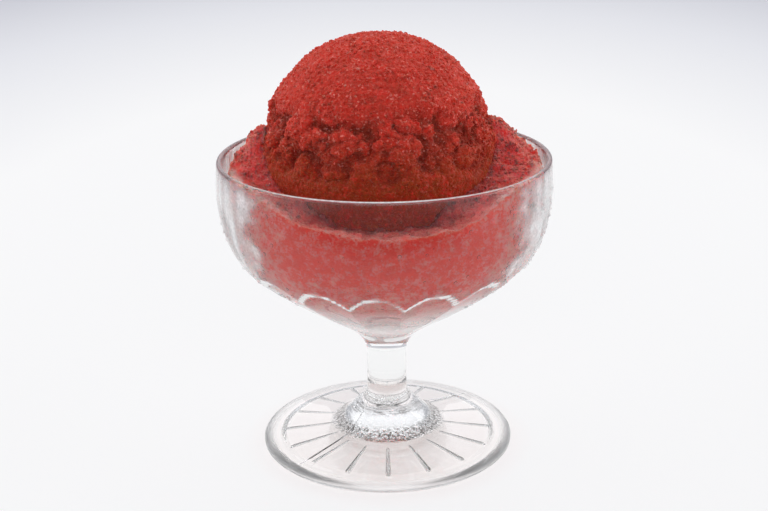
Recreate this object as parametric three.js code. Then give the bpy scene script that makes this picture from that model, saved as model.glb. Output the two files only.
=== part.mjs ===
// A scoop of red sherbet on more of the same, in a pressed-glass footed dish.
// Millimetres, +Z up. The origin is the middle of the foot, on the surface it stands on.
// Azimuth 0 is the front (-Y) and grows towards the right (+X).

import * as THREE from 'three';

// ---- driving dimensions: the glass dish ----
const RIM_HEIGHT = 88.7;
const RIM_THICKNESS = 1.7;
const BOWL_RADIUS = 48;
const BOWL_WIDEST_HEIGHT = 82;
const INNER_BOTTOM_HEIGHT = 43.4;
const INNER_RADIUS = 46.2;
const INNER_FULLNESS = 2.2;
const STEM_RADIUS = 5.85;
const STEM_FOOT_HEIGHT = 18.5;
const STEM_TOP_HEIGHT = 29;
const FOOT_RADIUS = 37.2;
const FOOT_EDGE_HEIGHT = 3.2;
const STANDING_RING_INNER = 31.2;
const STANDING_RING_OUTER = 34.8;

// ---- driving dimensions: the moulded pattern ----
const PANELS = 16;
const PANEL_ANGLE = 2 * Math.PI / PANELS;
const PANEL_CORNER_AZIMUTH = PANEL_ANGLE / 3;
const PANEL_ARCH_TOP = 61;
const PANEL_ARCH_HEIGHT = 6;
const PANEL_BOTTOM = 36.5;
const RAY_INNER_RADIUS = 15;
const RAY_OUTER_RADIUS = 30.4;
const RAY_DEPTH_INNER = 0.3;
const RAY_DEPTH_OUTER = 0.9;

// ---- driving dimensions: the sherbet ----
const SCOOP_RADIUS = 33.3;
const SCOOP_CENTRE = new THREE.Vector3(-1.5, 0, 90);
const TORN_BAND_LOW = 87;
const TORN_BAND_HIGH = 108;
const TORN_DEPTH = 2.4;
const SCRAPED_LOW = 97;
const SCRAPED_FULL = 103;
const LUMP_SIZE = 6.2;
const GAP = 0.35;
const BED_FRONT_HEIGHT = 79;
const BED_BACK_HEIGHT = 79.5;
const BED_SIDE_HEIGHT = 88.5;
const MOAT_DEPTH = 3;
const TOP_RELIEF = 1.1;
const COLLAR_LEFT_HEIGHT = 97.5;
const COLLAR_RIGHT_HEIGHT = 98.5;
const COLLAR_LEFT_AZIMUTH = THREE.MathUtils.degToRad(-96);
const COLLAR_RIGHT_AZIMUTH = THREE.MathUtils.degToRad(98);
const LEFT_CLEARANCE = 3.5;
const RIGHT_CLEARANCE = 3;
const CLEARANCE_BOTTOM_HEIGHT = 47;
const CLEARANCE_FULL_HEIGHT = 68;

// ---- fineness ----
const RAY_HALF_ANGLE = THREE.MathUtils.degToRad(1.7);
const BED_COLUMNS = 64;
const SCOOP_DETAIL = 14;

// ---- helpers ----

const { clamp, lerp, smoothstep } = THREE.MathUtils;

// A steady random number between 0 and 1 for each corner of a cubic lattice.
function latticeValue(x, y, z) {
  let hash = Math.imul(x, 374761393) + Math.imul(y, 668265263) + Math.imul(z, 2147483647);
  hash = Math.imul(hash ^ (hash >>> 13), 1274126177);
  return ((hash ^ (hash >>> 16)) >>> 0) / 4294967295;
}

// Smooth noise from -1 to 1, with lumps about one unit across.
function noise(x, y, z) {
  const cell = [Math.floor(x), Math.floor(y), Math.floor(z)];
  const blend = [x, y, z].map((value, axis) => smoothstep(value - cell[axis], 0, 1));
  let sum = 0;
  for (let corner = 0; corner < 8; corner += 1) {
    const step = [corner & 1, (corner >> 1) & 1, corner >> 2];
    const weights = step.map((one, axis) => (one ? blend[axis] : 1 - blend[axis]));
    const value = latticeValue(cell[0] + step[0], cell[1] + step[1], cell[2] + step[2]);
    sum += value * weights[0] * weights[1] * weights[2];
  }
  return 2 * sum - 1;
}

// 1 at the given azimuth, falling smoothly to 0 at halfWidth to either side.
function bump(azimuth, centre, halfWidth) {
  const away = Math.abs(Math.atan2(Math.sin(azimuth - centre), Math.cos(azimuth - centre)));
  return 1 - smoothstep(away, 0, halfWidth);
}

// Turns a closed profile round Z with a column of points at each azimuth,
// then moves each point to where place() puts it.
function turned(profile, azimuths, place) {
  const solid = new THREE.LatheGeometry(profile, azimuths.length);
  solid.rotateX(Math.PI / 2);
  const positions = solid.attributes.position;
  for (let index = 0; index < positions.count; index += 1) {
    const station = index % profile.length;
    const azimuth = azimuths[Math.floor(index / profile.length) % azimuths.length];
    const { radius, height } = place(profile[station], azimuth, station);
    positions.setXYZ(index, radius * Math.sin(azimuth), -radius * Math.cos(azimuth), height);
  }
  solid.computeVertexNormals();
  return solid;
}

// ---- the glass dish: one pressed piece ----

// The inside of the bowl, a full rounded cup.
function innerRadius(height) {
  const depth = BOWL_WIDEST_HEIGHT - INNER_BOTTOM_HEIGHT;
  const fall = clamp((BOWL_WIDEST_HEIGHT - height) / depth, 0, 1);
  return INNER_RADIUS * Math.sqrt(1 - fall ** INNER_FULLNESS);
}

// The height on the inside of the bowl at an angle from its bottom, 90 degrees at the widest.
function innerHeight(angle) {
  const depth = BOWL_WIDEST_HEIGHT - INNER_BOTTOM_HEIGHT;
  return BOWL_WIDEST_HEIGHT - depth * Math.cos(angle) ** (2 / INNER_FULLNESS);
}

// The angle from the bottom at which the inside of the bowl reaches a height.
function innerAngle(height) {
  const depth = BOWL_WIDEST_HEIGHT - INNER_BOTTOM_HEIGHT;
  const fall = clamp((BOWL_WIDEST_HEIGHT - height) / depth, 0, 1);
  return Math.acos(fall ** (INNER_FULLNESS / 2));
}

function footProfile() {
  return [
    [0, 3.6], [14.2, 2.7], [RAY_INNER_RADIUS, 2.2], [RAY_OUTER_RADIUS, 1.1],
    [STANDING_RING_INNER, 0], [STANDING_RING_OUTER, 0], [36.5, 0.6], [FOOT_RADIUS, 1.7],
    [36.6, 2.8], [35.2, FOOT_EDGE_HEIGHT], [17.5, 6.1], [14.1, 7.9], [10.4, 11.1],
    [7.5, 14.1], [6.1, 16.4],
  ];
}

const BOWL_STEPS = 13;
const INNER_STEPS = 9;

function outerBowlProfile() {
  const shape = new THREE.SplineCurve([
    [STEM_RADIUS, STEM_TOP_HEIGHT], [6.6, 32], [9, 35.2], [15.2, 39.6], [22.4, 44],
    [29.8, 49], [36.8, 54.2], [42.4, 60], [45.9, 67], [47.6, 74.5],
    [BOWL_RADIUS, BOWL_WIDEST_HEIGHT], [47.6, RIM_HEIGHT - RIM_THICKNESS / 2],
  ].map(([radius, height]) => new THREE.Vector2(radius, height)));
  return shape.getPoints(BOWL_STEPS);
}

function rimProfile() {
  const middle = new THREE.Vector2(47.6 - RIM_THICKNESS / 2, RIM_HEIGHT - RIM_THICKNESS / 2);
  return [1 / 3, 2 / 3, 1].map((turn) => new THREE.Vector2(
    middle.x + RIM_THICKNESS / 2 * Math.cos(turn * Math.PI),
    middle.y + RIM_THICKNESS / 2 * Math.sin(turn * Math.PI),
  ));
}

function innerBowlProfile() {
  const wall = [new THREE.Vector2(INNER_RADIUS, BOWL_WIDEST_HEIGHT)];
  for (let step = INNER_STEPS - 1; step > 0; step -= 1) {
    const height = innerHeight(Math.PI / 2 * step / INNER_STEPS);
    wall.push(new THREE.Vector2(innerRadius(height), height));
  }
  return [...wall, new THREE.Vector2(0, INNER_BOTTOM_HEIGHT)];
}

// Sixteen flat panels are cut into the lower bowl, each ending in an arch at its top.
function panelRadius(radius, height, azimuth) {
  const cut = clamp((PANEL_ARCH_TOP - height) / PANEL_ARCH_HEIGHT, 0, 1);
  const offset = azimuth - PANEL_CORNER_AZIMUTH;
  const fromMiddle = offset - PANEL_ANGLE * (Math.floor(offset / PANEL_ANGLE) + 0.5);
  const flat = 1 - cut * (1 - Math.cos(PANEL_ANGLE / 2));
  return Math.min(radius, radius * flat / Math.cos(fromMiddle));
}

const RAYED_STATIONS = 4;

// Sixteen rays are sunk into the underside of the foot, wider and deeper outwards.
function rayDepth(radius, azimuth) {
  const turn = azimuth / PANEL_ANGLE;
  const onRay = Math.abs(turn - Math.round(turn)) < 0.01;
  const along = (radius - RAY_INNER_RADIUS) / (RAY_OUTER_RADIUS - RAY_INNER_RADIUS);
  return onRay ? lerp(RAY_DEPTH_INNER, RAY_DEPTH_OUTER, along) : 0;
}

// The columns of points: one on each ray, one close to each side of it, and one on each panel corner.
function glassAzimuths() {
  const offsets = [0, RAY_HALF_ANGLE, PANEL_CORNER_AZIMUTH, 0.63 * PANEL_ANGLE,
    PANEL_ANGLE - RAY_HALF_ANGLE];
  const azimuths = [];
  for (let panel = 0; panel < PANELS; panel += 1) {
    azimuths.push(...offsets.map((offset) => panel * PANEL_ANGLE + offset));
  }
  return azimuths;
}

function glassDish() {
  const foot = footProfile().map(([radius, height]) => new THREE.Vector2(radius, height));
  const stem = new THREE.Vector2(STEM_RADIUS, STEM_FOOT_HEIGHT);
  const bowl = outerBowlProfile();
  const profile = [...foot, stem, ...bowl, ...rimProfile(), ...innerBowlProfile()];
  const bowlStart = foot.length + 1;
  const bowlEnd = bowlStart + bowl.length;
  const place = (point, azimuth, station) => {
    const rayed = station < RAYED_STATIONS && point.x >= RAY_INNER_RADIUS;
    const panelled = station >= bowlStart && station < bowlEnd && point.y > PANEL_BOTTOM;
    return {
      radius: panelled ? panelRadius(point.x, point.y, azimuth) : point.x,
      height: rayed ? point.y + rayDepth(point.x, azimuth) : point.y,
    };
  };
  return turned(profile, glassAzimuths(), place);
}

// ---- the bed of sherbet that fills the bowl ----

// How far the bed stands off the glass: it has drawn away from the wall at both sides.
function clearance(azimuth, height) {
  const rise = smoothstep(height, CLEARANCE_BOTTOM_HEIGHT, CLEARANCE_FULL_HEIGHT);
  const left = LEFT_CLEARANCE * bump(azimuth, COLLAR_LEFT_AZIMUTH, 0.75);
  const right = RIGHT_CLEARANCE * bump(azimuth, COLLAR_RIGHT_AZIMUTH, 0.7);
  return GAP + rise * (left + right);
}

// The height of the bed's top edge at the glass.
function edgeHeight(azimuth) {
  const side = Math.sin(azimuth) ** 2;
  const low = Math.cos(azimuth) > 0 ? BED_FRONT_HEIGHT : BED_BACK_HEIGHT;
  const ragged = 0.9 * noise(3 * Math.sin(azimuth), 3 * Math.cos(azimuth), 7.3);
  return lerp(low, BED_SIDE_HEIGHT, smoothstep(side, 0, 0.75)) + ragged;
}

// The height of the sherbet pressed up against the scoop: a moat in front, a collar at the sides.
function collarHeight(azimuth) {
  const left = bump(azimuth, COLLAR_LEFT_AZIMUTH, 0.7);
  const right = bump(azimuth, COLLAR_RIGHT_AZIMUTH, 0.75);
  const moat = edgeHeight(azimuth) - MOAT_DEPTH;
  const ragged = 1.6 * noise(5 * Math.sin(azimuth), 5 * Math.cos(azimuth), 2.1);
  return moat + left * (COLLAR_LEFT_HEIGHT - moat) + right * (COLLAR_RIGHT_HEIGHT - moat) + ragged;
}

// The radius from the dish's axis to the scoop's skin plus the gap, at a height and azimuth.
function hollowRadius(azimuth, height) {
  const reach = SCOOP_RADIUS + GAP + 0.1;
  const rise = height - SCOOP_CENTRE.z;
  const ring = Math.sqrt(Math.max(reach ** 2 - rise ** 2, 0));
  const across = SCOOP_CENTRE.x * Math.cos(azimuth);
  return SCOOP_CENTRE.x * Math.sin(azimuth) + Math.sqrt(Math.max(ring ** 2 - across ** 2, 0));
}

const BED_SIDE_STEPS = 9;
const BED_TOP_STEPS = 6;
const BED_HOLLOW_STEPS = 7;

function bedPoint(azimuth, station) {
  const edge = edgeHeight(azimuth);
  const collar = collarHeight(azimuth);
  if (station <= BED_SIDE_STEPS) {
    const share = station / BED_SIDE_STEPS;
    const curved = innerHeight(innerAngle(Math.min(edge, BOWL_WIDEST_HEIGHT)) * share) + GAP * (1 - share);
    const height = curved + Math.max(edge - BOWL_WIDEST_HEIGHT, 0) * share ** 4;
    const radius = innerRadius(height - GAP) - clearance(azimuth, height);
    return { radius: station > 0 ? radius : 0, height };
  }
  const edgeRadius = innerRadius(edge) - clearance(azimuth, edge);
  const lip = hollowRadius(azimuth, collar - 1);
  if (station <= BED_SIDE_STEPS + BED_TOP_STEPS) {
    const share = (station - BED_SIDE_STEPS) / (BED_TOP_STEPS + 1);
    const radius = lerp(edgeRadius, lip, share);
    const relief = noise(radius * Math.sin(azimuth) / 5, radius * Math.cos(azimuth) / 5, 5.5);
    return { radius, height: lerp(edge, collar, smoothstep(share, 0, 0.8)) + TOP_RELIEF * relief };
  }
  const share = (station - BED_SIDE_STEPS - BED_TOP_STEPS - 1) / BED_HOLLOW_STEPS;
  const steepest = Math.acos(clamp((SCOOP_CENTRE.z - collar + 1) / SCOOP_RADIUS, -1, 1));
  const reach = SCOOP_RADIUS + GAP + 0.1;
  const height = SCOOP_CENTRE.z - reach * Math.cos(steepest * (1 - share));
  return { radius: share < 1 ? hollowRadius(azimuth, height) : 0, height };
}

function sherbetBed() {
  const stations = BED_SIDE_STEPS + BED_TOP_STEPS + BED_HOLLOW_STEPS + 2;
  const profile = Array.from({ length: stations }, (unused, station) => {
    const { radius, height } = bedPoint(0, station);
    return new THREE.Vector2(radius, height);
  });
  const azimuths = Array.from({ length: BED_COLUMNS }, (unused, column) => (
    2 * Math.PI * column / BED_COLUMNS));
  return turned(profile, azimuths, (unused, azimuth, station) => bedPoint(azimuth, station));
}

// ---- the scoop: a ball scraped smooth above, torn across its middle ----

function scoopRelief(point) {
  const level = point.z + 2 * noise(point.x / 9, point.y / 9, 0);
  const rising = smoothstep(level, TORN_BAND_LOW, TORN_BAND_LOW + 5);
  const falling = 1 - smoothstep(level, TORN_BAND_HIGH - 5, TORN_BAND_HIGH);
  const lumps = noise(point.x / LUMP_SIZE, point.y / LUMP_SIZE, point.z / LUMP_SIZE);
  const crease = (1 - Math.abs(lumps)) ** 3;
  const torn = -TORN_DEPTH * rising * falling * crease;
  const scrape = 0.35 * noise(point.x / 14, point.y / 14, point.z / 2.6);
  const above = smoothstep(point.z, SCRAPED_LOW, SCRAPED_FULL);
  return torn + above * (scrape + 0.35 * lumps);
}

function sherbetScoop() {
  const ball = new THREE.IcosahedronGeometry(SCOOP_RADIUS, SCOOP_DETAIL);
  const positions = ball.attributes.position;
  const direction = new THREE.Vector3();
  const point = new THREE.Vector3();
  for (let index = 0; index < positions.count; index += 1) {
    direction.fromBufferAttribute(positions, index).normalize();
    point.copy(direction).multiplyScalar(SCOOP_RADIUS).add(SCOOP_CENTRE);
    point.addScaledVector(direction, scoopRelief(point));
    point.sub(SCOOP_CENTRE);
    positions.setXYZ(index, point.x, point.y, point.z);
  }
  ball.computeVertexNormals();
  return ball;
}

// ---- the whole ----

function mesh(name, geometry, colour, roughness) {
  const material = new THREE.MeshStandardMaterial({ color: colour, roughness, metalness: 0 });
  const piece = new THREE.Mesh(geometry, material);
  piece.name = name;
  return piece;
}

const sherbetCup = new THREE.Group();
const scoop = mesh('sherbet_scoop', sherbetScoop(), '#a8322a', 0.6);
scoop.position.copy(SCOOP_CENTRE);
sherbetCup.add(mesh('glass_dish', glassDish(), '#dfe3e2', 0.05));
sherbetCup.add(mesh('sherbet_bed', sherbetBed(), '#b84a44', 0.65));
sherbetCup.add(scoop);

export default sherbetCup;
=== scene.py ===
"""Red sherbet in a pressed-glass footed dish: a torn, icy ball on a bed that fills the bowl.

Sizes are named in millimetres and turned to metres once. Azimuth 0 is the front (-Y) and grows
towards the right (+X), as in the solid model.
"""

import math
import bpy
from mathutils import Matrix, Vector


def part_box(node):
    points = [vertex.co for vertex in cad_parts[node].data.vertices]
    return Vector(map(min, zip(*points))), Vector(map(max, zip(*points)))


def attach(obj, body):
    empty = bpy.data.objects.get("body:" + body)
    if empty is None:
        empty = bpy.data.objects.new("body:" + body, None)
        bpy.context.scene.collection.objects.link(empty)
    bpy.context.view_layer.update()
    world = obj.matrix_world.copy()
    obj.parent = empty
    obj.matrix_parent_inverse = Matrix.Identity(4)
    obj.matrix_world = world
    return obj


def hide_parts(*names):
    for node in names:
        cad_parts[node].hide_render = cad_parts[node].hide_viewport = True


bl_info = {
    "name": "Sherbet Cup",
    "version": (1, 0, 0),
    "blender": (4, 5, 0),
    "location": "View3D > Sidebar > Sherbet Cup",
    "description": "Builds a footed glass dish of red sherbet around its solid model",
    "category": "Object",
}

import bpy
import numpy as np
from mathutils import Euler, Matrix, Vector

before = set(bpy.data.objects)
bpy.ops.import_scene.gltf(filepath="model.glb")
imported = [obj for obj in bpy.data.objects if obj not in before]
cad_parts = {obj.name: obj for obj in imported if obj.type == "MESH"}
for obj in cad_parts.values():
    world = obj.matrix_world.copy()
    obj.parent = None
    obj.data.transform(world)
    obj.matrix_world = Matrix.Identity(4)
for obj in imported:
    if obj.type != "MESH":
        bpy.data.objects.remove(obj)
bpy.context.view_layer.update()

MM = 0.001
BODY = "root"

# ---- the dish, in millimetres and radians; its height is the solid model's ----
DISH_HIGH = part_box("glass_dish")[1] / MM
RIM_HEIGHT = DISH_HIGH.z + 0.1
BOWL_RADIUS = 48
RIM_THICKNESS = 1.7
RIM_RADIUS = BOWL_RADIUS - 0.4
BOWL_WIDEST_HEIGHT = 82
INNER_BOTTOM_HEIGHT = 43.4
INNER_RADIUS = 46.2
INNER_FULLNESS = 2.2
STEM_RADIUS = 5.85
STEM_TOP_HEIGHT = 29
PANELS = 16
PANEL_ANGLE = 2 * math.pi / PANELS
PANEL_CORNER_AZIMUTH = PANEL_ANGLE / 3
PANEL_BOTTOM = 36.5
RAY_INNER_RADIUS = 15
RAY_OUTER_RADIUS = 30.4
SEAM_AZIMUTH = math.radians(-47)
SEAM_ANGLE = math.radians(0.45)
SEAM_LIFT = 0.22
SEAM_LOW = 3.3
SEAM_HIGH = 17
DISH_COLUMNS = 28 * PANELS

# ---- the finish of the glass, in millimetres and radians; pairs are from and to, ----
# ---- but middle and half width for the border and the run of drops ----
MIST_RISES = (31, 42)
MIST_ENDS = (85, 90)
# Thicker white low on the bowl, partly a painted light from the floor below.
LOW_MIST_AND_LIGHT_FADES = (40, 57)
MIST_SIDES = (0.78, 1.0)
DROPS_RISE = (46, 56)
DROPS_END = (80, 87)
DROPS_BORDER = (0.9, 0.2)
DROPS_RUN = (math.radians(68), 0.25)
SCUFFED_EDGE = (33.8, 34.6)
SCUFFED_HIGH = 3.3
STIPPLE_RADIUS = 14.6
STIPPLE_FADES = (0.8, 2.6)
STIPPLE_LOW = 4.5

# ---- the sherbet, in millimetres and radians ----
SCOOP_RADIUS = 33.3
SCOOP_CENTRE = Vector((-1.5, 0, 90))
TORN_BAND_LOW = 87
TORN_BAND_HIGH = 108
LUMP_SIZE = 6.2
SCRAPED_LOW = 97
SCRAPED_FULL = 103
BED_FRONT_HEIGHT = 79
BED_BACK_HEIGHT = 79.5
BED_SIDE_HEIGHT = 88.5
MOAT_DEPTH = 3
COLLAR_LEFT_HEIGHT = 97.5
COLLAR_RIGHT_HEIGHT = 98.5
COLLAR_LEFT_AZIMUTH = math.radians(-96)
COLLAR_RIGHT_AZIMUTH = math.radians(98)
LEFT_CLEARANCE = 4.2
RIGHT_CLEARANCE = 3.6
CLEARANCE_BOTTOM_HEIGHT = 47
CLEARANCE_FULL_HEIGHT = 68
REACH_INTO_WALL = 0.25
SHERBET_COLUMNS = 512
BED_SIDE_RINGS = 104
BED_TOP_RINGS = 52
BALL_RINGS = 176
BALL_HIDDEN_RINGS = 12
BALL_SHOWN_ANGLE = math.radians(126)

# ---- the camera, in millimetres, pixels and radians ----
PICTURE_WIDTH = 768
SENSOR_WIDTH = 36
CAMERA_DISTANCE = 379.3
CAMERA_HEIGHT = 188.8
CAMERA_SIDE = -0.4
CAMERA_PITCH = 0.3313
CAMERA_ROLL = -0.0132
FOCAL_PIXELS = 1376

# ---- the lights: name, place and size in metres, and the setting with their power ----
SOFTBOXES = (
    ("overhead softbox", (-0.05, 0.15, 0.95), (1.0, 0.8), "key_power"),
    ("back softbox", (0, 1.2, 1.0), (2.2, 1.5), "back_power"),
    ("front softbox", (0.1, -1.0, 0.62), (1.0, 0.6), "front_power"),
    ("left softbox", (-0.95, 0.05, 0.42), (0.9, 0.7), "side_power"),
    ("right softbox", (0.95, 0.05, 0.42), (0.9, 0.7), "side_power"))
SOFTBOX_AIM = Vector((0, 0, 0.08))

# ---- the floor's glow, in millimetres; pinker under the foot, a painted red light, and dimmer under the hub, a painted shadow ----
FLOOR_RADIUS = 1600
FLOOR_GLOW_BACK = 100
FLOOR_GLOW_WIDTH = 600
FLOOR_GLOW_DEPTH = 1150
FLOOR_GLOW_END = -110
FLOOR_GLOW_FADE = 90
# Pinker light under the foot: a painted red light from the sherbet.
FOOT_RED_LIGHT = (28, 44)
# Dimmer light under the hub: a painted shadow.
HUB_SHADOW = (12, 18)


# ======== helpers ========

def linear(hex_colour):
    """An sRGB hex colour as a linear RGBA tuple."""
    value = hex_colour.lstrip("#")
    channels = [int(value[place:place + 2], 16) / 255 for place in (0, 2, 4)]
    return tuple(c / 12.92 if c <= 0.04045 else ((c + 0.055) / 1.055) ** 2.4 for c in channels) + (1.0,)


def fill(tree, node, sockets):
    """Fills a node's sockets, by name or number, with plain values, sockets or nodes.

    A socket is linked, and of a node its first output is.
    """
    for name, value in sockets.items():
        source = value.outputs[0] if isinstance(value, bpy.types.Node) else value
        if isinstance(source, bpy.types.NodeSocket):
            tree.links.new(source, node.inputs[name])
        else:
            node.inputs[name].default_value = source


def add_node(tree, kind, *values, **settings):
    """Adds a node with its settings. Values fill its sockets, in order or, in a dict, by name."""
    node = tree.nodes.new(kind)
    for name, setting in settings.items():
        setattr(node, name, setting)
    sockets = {}
    for place, value in enumerate(values):
        sockets.update(value if isinstance(value, dict) else {place: value})
    fill(tree, node, sockets)
    return node


def maths(tree, operation, *values, **settings):
    return add_node(tree, "ShaderNodeMath", *values, operation=operation, **settings)


def vector_maths(tree, operation, *values):
    return add_node(tree, "ShaderNodeVectorMath", *values, operation=operation)


def remap(tree, value, low, high, to_low=0.0, to_high=1.0, smooth=False):
    """Turns low to high into to_low to to_high, and stays at those beyond."""
    return add_node(tree, "ShaderNodeMapRange", value, {
        "From Min": low, "From Max": high, "To Min": to_low, "To Max": to_high},
        interpolation_type="SMOOTHSTEP" if smooth else "LINEAR")


def blend(tree, share, start, end, kind="FLOAT"):
    """From start, where the share is 0, to end, where it is 1: numbers, or colours as RGBA."""
    return add_node(
        tree, "ShaderNodeMix", {"Factor": share, "A": start, "B": end}, data_type=kind).outputs["Result"]


def noise_node(tree, place, size, detail, roughness=0.5):
    """Noise with lumps of the given size."""
    return add_node(tree, "ShaderNodeTexNoise", place, {
        "Scale": 1 / size, "Detail": detail, "Roughness": roughness})


def mask_node(tree, name):
    """One of the masks that ring_mesh kept, in a material or in geometry nodes."""
    if tree.type == "SHADER":
        return add_node(tree, "ShaderNodeAttribute", attribute_name=name).outputs["Fac"]
    return add_node(tree, "GeometryNodeInputNamedAttribute", name, data_type="FLOAT").outputs[0]


def smoothstep(value, low, high):
    """0 below low, 1 above high, and a smooth rise between."""
    share = np.clip((value - low) / (high - low), 0, 1)
    return share * share * (3 - 2 * share)


def lerp(start, end, share):
    return start + (end - start) * share


def lattice_value(x, y, z):
    """A steady random number between 0 and 1 for each corner of a cubic lattice."""
    word = np.uint64(0xFFFFFFFF)
    mixed = (x * 374761393 + y * 668265263 + z * 2147483647).astype(np.uint64) & word
    mixed = ((mixed ^ (mixed >> np.uint64(13))) * np.uint64(1274126177)) & word
    return ((mixed ^ (mixed >> np.uint64(16))) & word) / 4294967295


def noise(x, y, z):
    """Smooth noise from -1 to 1, its lumps about one unit across: the solid model's own."""
    x, y, z = np.broadcast_arrays(*(np.asarray(part, float) for part in (x, y, z)))
    cells = [np.floor(part).astype(np.int64) for part in (x, y, z)]
    shares = [smoothstep(part - cell, 0, 1) for part, cell in zip((x, y, z), cells)]
    total = np.zeros(x.shape)
    for corner in range(8):
        steps = (corner & 1, corner >> 1 & 1, corner >> 2)
        weight = np.ones(x.shape)
        for step, share in zip(steps, shares):
            weight = weight * (share if step else 1 - share)
        total += weight * lattice_value(*(cell + step for cell, step in zip(cells, steps)))
    return 2 * total - 1


def bump(azimuth, centre, half_width):
    """1 at the given azimuth, falling smoothly to 0 at half_width to either side."""
    away = np.abs(np.arctan2(np.sin(azimuth - centre), np.cos(azimuth - centre)))
    return 1 - smoothstep(away, 0, half_width)


def rounded(points, rounds):
    """Cuts the corners of an open outline until it is a smooth curve; its ends stay."""
    line = np.array(points, float)
    for _ in range(rounds):
        near = 0.75 * line[:-1] + 0.25 * line[1:]
        far = 0.25 * line[:-1] + 0.75 * line[1:]
        line = np.concatenate([line[:1], np.stack([near, far], axis=1).reshape(-1, 2), line[-1:]])
    return line


def curve_through(points, count):
    """A smooth curve through all the points of an outline."""
    knots = np.array(points, float)
    padded = np.concatenate([knots[:1], knots, knots[-1:]])
    at = np.linspace(0, len(knots) - 1, count)
    index = np.minimum(at.astype(int), len(knots) - 2)
    share = (at - index)[:, None]
    before, start, end, after = (padded[index + step] for step in range(4))
    leaving, arriving = (end - before) / 2, (after - start) / 2
    cubic = 2 * start - 2 * end + leaving + arriving
    square = 3 * end - 3 * start - 2 * leaving - arriving
    return cubic * share ** 3 + square * share ** 2 + leaving * share + start


def evenly(line, count):
    """The same outline with its points spread evenly along it."""
    steps = np.concatenate([[0], np.cumsum(np.hypot(*np.diff(line, axis=0).T))])
    at = np.linspace(0, steps[-1], count)
    return np.stack([np.interp(at, steps, line[:, axis]) for axis in (0, 1)], axis=1)


def ring_mesh(name, radii, heights, azimuth, masks):
    """A closed mesh from rings: rows are rings, columns are azimuths, lengths are in millimetres.

    The first and last rows close into a point each. Masks are kept as attributes of its points.
    """
    rings, columns = radii.shape
    points = np.stack([radii * np.sin(azimuth), -radii * np.cos(azimuth), heights], axis=-1) * MM
    corners = np.concatenate([points[:1, 0], points[1:-1].reshape(-1, 3), points[-1:, 0]])
    column = np.arange(columns)
    after = (column + 1) % columns
    start = 1 + np.arange(rings - 3)[:, None] * columns
    quads = np.stack([
        start + column, start + after, start + columns + after, start + columns + column], axis=-1)
    top = 1 + (rings - 3) * columns
    apex = len(corners) - 1
    faces = quads.reshape(-1, 4).tolist()
    faces += [(0, 1 + b, 1 + a) for a, b in zip(column.tolist(), after.tolist())]
    faces += [(apex, top + a, top + b) for a, b in zip(column.tolist(), after.tolist())]
    mesh = bpy.data.meshes.new(name)
    mesh.from_pydata(corners.tolist(), [], faces)
    mesh.polygons.foreach_set("use_smooth", [True] * len(mesh.polygons))
    for label, mask in masks.items():
        mask = np.broadcast_to(mask, radii.shape)
        flat = np.concatenate([mask[:1, 0], mask[1:-1].ravel(), mask[-1:, 0]])
        mesh.attributes.new(label, "FLOAT", "POINT").data.foreach_set("value", flat.astype(np.float32))
    mesh.update()
    return mesh


def add_object(name, mesh):
    """Links a new object that holds the mesh, at the origin."""
    piece = bpy.data.objects.new(name, mesh)
    bpy.context.scene.collection.objects.link(piece)
    return piece


def geometry_tree(name, values):
    """A new geometry node tree with a Geometry socket each way and an input for each named value."""
    tree = bpy.data.node_groups.new(name, "GeometryNodeTree")
    tree.interface.new_socket("Geometry", in_out="INPUT", socket_type="NodeSocketGeometry")
    tree.interface.new_socket("Geometry", in_out="OUTPUT", socket_type="NodeSocketGeometry")
    kinds = {int: "NodeSocketInt", float: "NodeSocketFloat", bpy.types.Material: "NodeSocketMaterial"}
    for label, value in values.items():
        tree.interface.new_socket(label, in_out="INPUT", socket_type=kinds[type(value)])
    return tree, tree.nodes.new("NodeGroupInput").outputs


def close_tree(tree, given, geometry):
    """Ends a geometry node tree in plain faces of the given material."""
    real = add_node(tree, "GeometryNodeRealizeInstances", geometry)
    dressed = add_node(tree, "GeometryNodeSetMaterial", real, {"Material": given["Material"]})
    add_node(tree, "NodeGroupOutput", dressed)
    return tree


def keep_mask(tree, geometry, name, value):
    """The geometry with a mask changed."""
    return add_node(tree, "GeometryNodeStoreNamedAttribute", geometry, {
        "Name": name, "Value": value}, data_type="FLOAT", domain="POINT")


def run_tree(name, tree, source, values):
    """The plain mesh that a geometry node tree makes of a source mesh and the named values."""
    carrier = add_object(name + "_carrier", source)
    modifier = carrier.modifiers.new("shape", "NODES")
    modifier.node_group = tree
    for socket in tree.interface.items_tree:
        if socket.name in values:
            modifier[socket.identifier] = values[socket.name]
    graph = bpy.context.evaluated_depsgraph_get()
    result = bpy.data.meshes.new_from_object(carrier.evaluated_get(graph), depsgraph=graph)
    result.name = name
    bpy.data.objects.remove(carrier)
    return result


def finish_piece(piece, node):
    """Ties a piece to the body and, if it stands for a solid of the model, hides that solid."""
    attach(piece, BODY)
    if node:
        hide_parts(node)


# ======== settings ========

def amount_setting(name, description, amount):
    return bpy.props.FloatProperty(name=name, description=description, default=amount, min=0.0)


def length_setting(name, description, millimetres):
    return amount_setting(name, description + ", in millimetres", millimetres)


def share_setting(name, description, share):
    return bpy.props.FloatProperty(
        name=name, description=description, default=share, min=0.0, max=1.0, subtype="FACTOR")


def hex_setting(name, description, hex_colour):
    return bpy.props.StringProperty(
        name=name, description=description + ", as an sRGB hex value", default=hex_colour)


def lengths(settings, *names):
    """Length settings in metres, under the names of their sockets."""
    return {name.replace("_", " ").title(): getattr(settings, name) * MM for name in names}


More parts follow.
